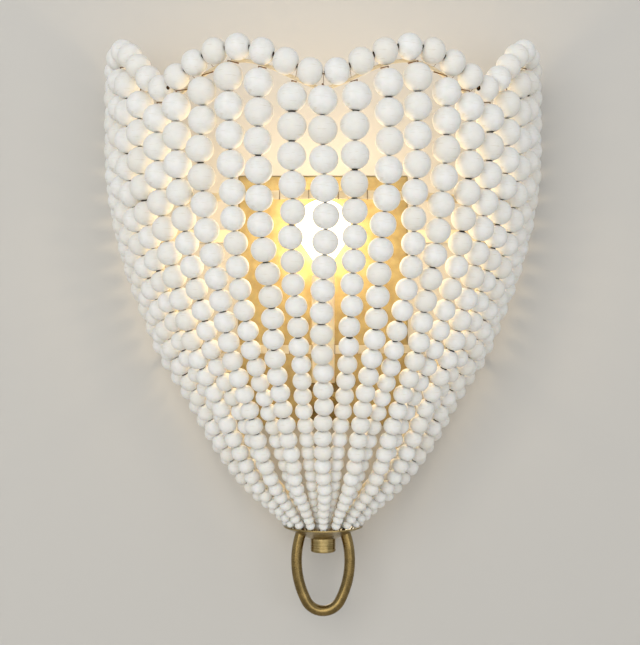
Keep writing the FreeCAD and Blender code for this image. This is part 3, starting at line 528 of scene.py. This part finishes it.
def bead_outline(radius, half, upper, lower):
    """Distance from the axis and height along it, down the skin of a bead and back up its bore.
    The skin is an arc with its middle off the axis, because the lower beads are flattened."""
    bore = BORE_RADIUS * MM
    arc = ((radius - bore) ** 2 + half ** 2) / (2 * (radius - bore))
    middle = radius - arc
    lip = min(LIP * MM, LIP_SHARE * min(upper, lower))
    top = math.asin((upper + lip - middle) / arc)
    bottom = math.asin((lower + lip - middle) / arc)
    outline = []
    for i in range(BEAD_RINGS):
        turn = top + (math.pi - bottom - top) * i / (BEAD_RINGS - 1)
        outline.append((middle + arc * math.sin(turn), arc * math.cos(turn)))
    low = outline[-1][1]
    high = outline[0][1]
    outline.append((lower, low + EDGE_DEPTH * lip))
    outline.append((WAIST_SHARE * lower, low + WAIST_DEPTH * lip))
    outline.append((WAIST_SHARE * upper, high - WAIST_DEPTH * lip))
    outline.append((upper, high - EDGE_DEPTH * lip))
    return outline


def skin_dent(turn, rise, phases):
    """How far the skin dips at a place on a bead, by three slow waves over it."""
    return BEAD_DENT * (3 + math.cos(2 * turn + phases[0]) +
                        math.cos(3 * turn + phases[1] + rise) + math.cos(3 * rise + phases[2]))


def make_piece(name, points, faces, materials):
    """A mesh that rides on the fixture, with the materials it is given."""
    mesh = bpy.data.meshes.new(name)
    mesh.from_pydata([tuple(point) for point in points], [], faces)
    for material in materials:
        mesh.materials.append(material)
    mesh.polygons.foreach_set("use_smooth", [True] * len(faces))
    mesh.update()
    piece = bpy.data.objects.new(name, mesh)
    bpy.context.scene.collection.objects.link(piece)
    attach(piece, "fixture")
    return piece


class BeadRow:
    """Gathers the beads of one node: points and faces, which material each face has, 0 for the
    skin and 1 for the bore, and for each point its place on its bead and the bead's tone."""

    def __init__(self):
        self.points = []
        self.faces = []
        self.picks = []
        self.places = []
        self.tones = []

    def put(self, bead, upper, lower):
        """Adds a bead, given the radius of each mouth of its bore."""
        outline = bead_outline(bead.radius, bead.half, upper, lower)
        first, second = across(bead.way)
        lean = first * chance.uniform(-1, 1) + second * chance.uniform(-1, 1)
        way = (bead.way + lean * BEAD_LEAN).normalized()
        first, second = across(way)
        narrowing = 1 - BEAD_SQUASH * chance.random()
        phases = [chance.uniform(0, FULL_TURN) for _ in range(3)]
        tone = chance.random() ** 2
        start = len(self.points)
        for ring, (reach, height) in enumerate(outline):
            for j in range(BEAD_SIDES):
                turn = -FULL_TURN * j / BEAD_SIDES
                dent = skin_dent(turn, height / bead.radius, phases) if ring < BEAD_RINGS else 0
                side = first * math.cos(turn) + second * math.sin(turn)
                # A dent is half as deep along the bore as it is across.
                offset = side * reach * (1 - dent) * narrowing + way * height * (1 - dent / 2)
                self.points.append(bead.centre + offset)
                self.places.append((offset / MM).to_tuple())
                self.tones.append(tone)
        self.faces += ring_faces(len(outline), BEAD_SIDES, start, True)
        for ring in range(len(outline)):
            self.picks += [0 if ring < BEAD_RINGS else 1] * BEAD_SIDES

    def finish(self, name, materials, node):
        """Makes the row one piece that stands for its CAD node."""
        piece = make_piece(name, self.points, self.faces, materials)
        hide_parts(node)
        piece.data.polygons.foreach_set("material_index", self.picks)
        shifted = [(x + PATTERN_SHIFT * tone, y, z)
                   for (x, y, z), tone in zip(self.places, self.tones)]
        field = piece.data.attributes.new("bead_place", "FLOAT_VECTOR", "POINT")
        field.data.foreach_set("vector", [value for place in shifted for value in place])
        field = piece.data.attributes.new("bead_tone", "FLOAT", "POINT")
        field.data.foreach_set("value", self.tones)


def mouths(radii):
    """Radius of the bore's mouth at the top of a string, at each gap and at its foot."""
    sizes = []
    for radius in radii + radii[-1:]:
        wide = radius > WIDE_FROM * MM and chance.random() < WIDE_CHANCE
        sizes.append(radius * chance.uniform(*(WIDE_MOUTH if wide else USUAL_MOUTH)))
    return sizes


def cord(start, end, radius):
    """Points and faces of a short length of cord."""
    first, second = across(end - start)
    points = []
    for middle in (start, end):
        for j in range(CORD_SIDES):
            turn = FULL_TURN * j / CORD_SIDES
            points.append(middle + (first * math.cos(turn) + second * math.sin(turn)) * radius)
    faces = ring_faces(2, CORD_SIDES)
    faces.append(tuple(range(CORD_SIDES))[::-1])
    faces.append(tuple(range(CORD_SIDES, 2 * CORD_SIDES)))
    return points, faces


def make_strand(name, chain, materials):
    """One string of beads. Gives the lengths of cord that show between them as painted shade."""
    sizes = mouths([bead.radius for bead in chain])
    row = BeadRow()
    for i, bead in enumerate(chain):
        row.put(bead, sizes[i], sizes[i + 1])
    row.finish(name + "_beads", materials, name)
    cords = []
    for bead, below, size in zip(chain, chain[1:], sizes[1:]):
        run = (below.centre - bead.centre).normalized()
        gap = bead.centre + run * bead.half
        radius = size * CORD_SHARE
        cords.append(cord(gap - run * radius, gap + run * radius, radius))
    return cords


def make_rim(materials):
    """The row of beads along the scalloped rim."""
    chain = bead_chain("rim_beads", lambda centre: math.atan2(centre[0], -centre[1]))
    row = BeadRow()
    for bead in chain:
        mouth = bead.radius * chance.uniform(*RIM_MOUTH)
        row.put(bead, mouth, mouth)
    row.finish("rim_bead_row", materials, "rim_beads")


def make_cords(cords):
    """All lengths of cord as one piece, nearly black as painted shade."""
    points = []
    faces = []
    for cord_points, cord_faces in cords:
        start = len(points)
        points += cord_points
        faces += [tuple(i + start for i in face) for face in cord_faces]
    make_piece("bore_cords_painted_shade", points, faces, [painted_shade_cord()])


def make_beads():
    """All the beads and the cord that shows between them as painted shade."""
    materials = [chalk_paint(), bore_wood_and_painted_shade()]
    make_rim(materials)
    names = sorted(node for node in nodes if node.startswith("bead_strand"))
    chains = loosen([bead_chain(name, lambda centre: -centre[2]) for name in names])
    cords = []
    for name, chain in zip(names, chains):
        cords += make_strand(name, chain, materials)
    make_cords(cords)


# Finishing the CAD pieces that keep their shape.

def dress(material, *names):
    """Gives CAD nodes their finish."""
    for name in names:
        mesh = nodes[name].data
        mesh.materials.clear()
        mesh.materials.append(material)


def dress_fixture():
    """Finishes what stays on the wall."""
    dress(antique_brass("antique_brass", "967F50", "786640", smoothest=0.21, roughest=0.32),
          "arm_rosette", "candle_cup", "cap_nuts", "frame_hub", "lamp_arm", "ring_loop")
    dress(turned_brass(), "bottom_dish", "finial_knob")
    dress(antique_brass("satin_brass_plate", "BBA878", "A59063", smoothest=0.41, roughest=0.52),
          "backplate")
    dress(cream_enamel(), "mid_hoop", "lower_hoop", "frame_ribs", "back_uprights", "rim_rod",
          "upper_rail", "lower_rail")
    dress(bronze_wire(), "strand_wires", "rim_wire", "tie_wires")
    dress(zinc_plate(), "mounting_strap", "strap_studs", "rail_nuts", "arm_nut", "cup_locknut",
          "holder_leg", "hub_stud")
    dress(green_screw(), "ground_screw")
    dress(ivory_sleeve(), "candle_sleeve")
    dress(porcelain(), "lampholder_body")
    dress(lead_insulation(), "lamp_leads")


def dress_lamp():
    """Finishes the lamp, and its contacts in the holder."""
    dress(lit_glass(), "bulb_glass")
    dress(lamp_brass(), "bulb_cap", "screw_shell", "centre_contact")
    dress(tin_solder(), "bulb_tip")
    dress(black_glass(), "bulb_insulator")


# Studio: a wall and a floor that are seen from one side only, lamps and the camera.

def studio_plane(name, corners, material):
    mesh = bpy.data.meshes.new(name)
    mesh.from_pydata([Vector(corner) * MM for corner in corners], [], [(0, 1, 2, 3)])
    mesh.materials.append(material)
    piece = bpy.data.objects.new(name, mesh)
    bpy.context.scene.collection.objects.link(piece)
    return piece


def make_studio():
    wide = STUDIO_REACH
    down = FLOOR_HEIGHT
    wall = studio_plane("wall", [(-wide, WALL_BEHIND, down), (wide, WALL_BEHIND, down),
                                 (wide, WALL_BEHIND, wide), (-wide, WALL_BEHIND, wide)],
                        plaster("pale_wall_plaster", WALL_COLOUR))
    # The wall lets the back lamp's light through, and metal parts seen from behind mirror the
    # studio and not the front of the wall.
    wall.visible_shadow = False
    wall.visible_glossy = False
    studio_plane("floor", [(-wide, -wide, down), (wide, -wide, down), (wide, wide, down),
                           (-wide, wide, down)], plaster("pale_floor_plaster", FLOOR_COLOUR))
    world = bpy.data.worlds.new("studio")
    world.use_nodes = True
    background = world.node_tree.nodes["Background"]
    background.inputs["Color"].default_value = linear(SKY_COLOUR)
    background.inputs["Strength"].default_value = SKY_STRENGTH
    bpy.context.scene.world = world


def new_lamp(name, kind, watts, code):
    """A lamp of Blender's in the scene, and its settings."""
    settings = bpy.data.lights.new(name, kind)
    settings.energy = watts
    settings.color = linear(code)[:3]
    lamp = bpy.data.objects.new(name, settings)
    bpy.context.scene.collection.objects.link(lamp)
    return lamp, settings


def make_studio_lamps():
    for name, (place, target, wide, watts, code) in STUDIO_LAMPS.items():
        lamp, settings = new_lamp(name, "AREA", watts, code)
        settings.shape = "DISK"
        settings.size = wide * MM
        lamp.location = Vector(place) * MM
        aim = Vector(target) - Vector(place)
        lamp.rotation_euler = aim.to_track_quat("-Z", "Y").to_euler()


def make_glow():
    """The light of the lamp itself, which rides with the bulb."""
    low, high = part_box("bulb_glass")
    glow, settings = new_lamp("lamp_glow", "POINT", GLOW_WATTS, GLOW_COLOUR)
    settings.shadow_soft_size = GLOW_RADIUS * MM
    glow.location = ((low[0] + high[0]) / 2, (low[1] + high[1]) / 2, high[2] - GLOW_DROP * MM)
    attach(glow, "bulb")
    # The glass glows all round, so the candle under it casts no hard shadow into the dish, and
    # the plate behind it none on the wall.
    for name in ("bulb_glass", "bulb_cap", "lampholder_body", "screw_shell", "centre_contact",
                 "candle_sleeve", "candle_cup", "cup_locknut", "holder_leg", "lamp_leads",
                 "backplate"):
        nodes[name].visible_shadow = False


def make_camera():
    settings = bpy.data.cameras.new("photo_camera")
    settings.sensor_fit = "HORIZONTAL"
    settings.sensor_width = SENSOR_WIDE
    settings.lens = SENSOR_WIDE * -CAMERA_PLACE[1] / VIEW_WIDE
    settings.clip_end = CAMERA_REACH * MM
    camera = bpy.data.objects.new("photo_camera", settings)
    camera.location = Vector(CAMERA_PLACE) * MM
    camera.rotation_euler = (math.pi / 2, 0, 0)
    bpy.context.scene.collection.objects.link(camera)
    bpy.context.scene.camera = camera


bpy.context.scene.view_settings.view_transform = "Standard"
make_camera()
make_studio()
make_studio_lamps()
make_glow()
dress_fixture()
dress_lamp()
make_beads()
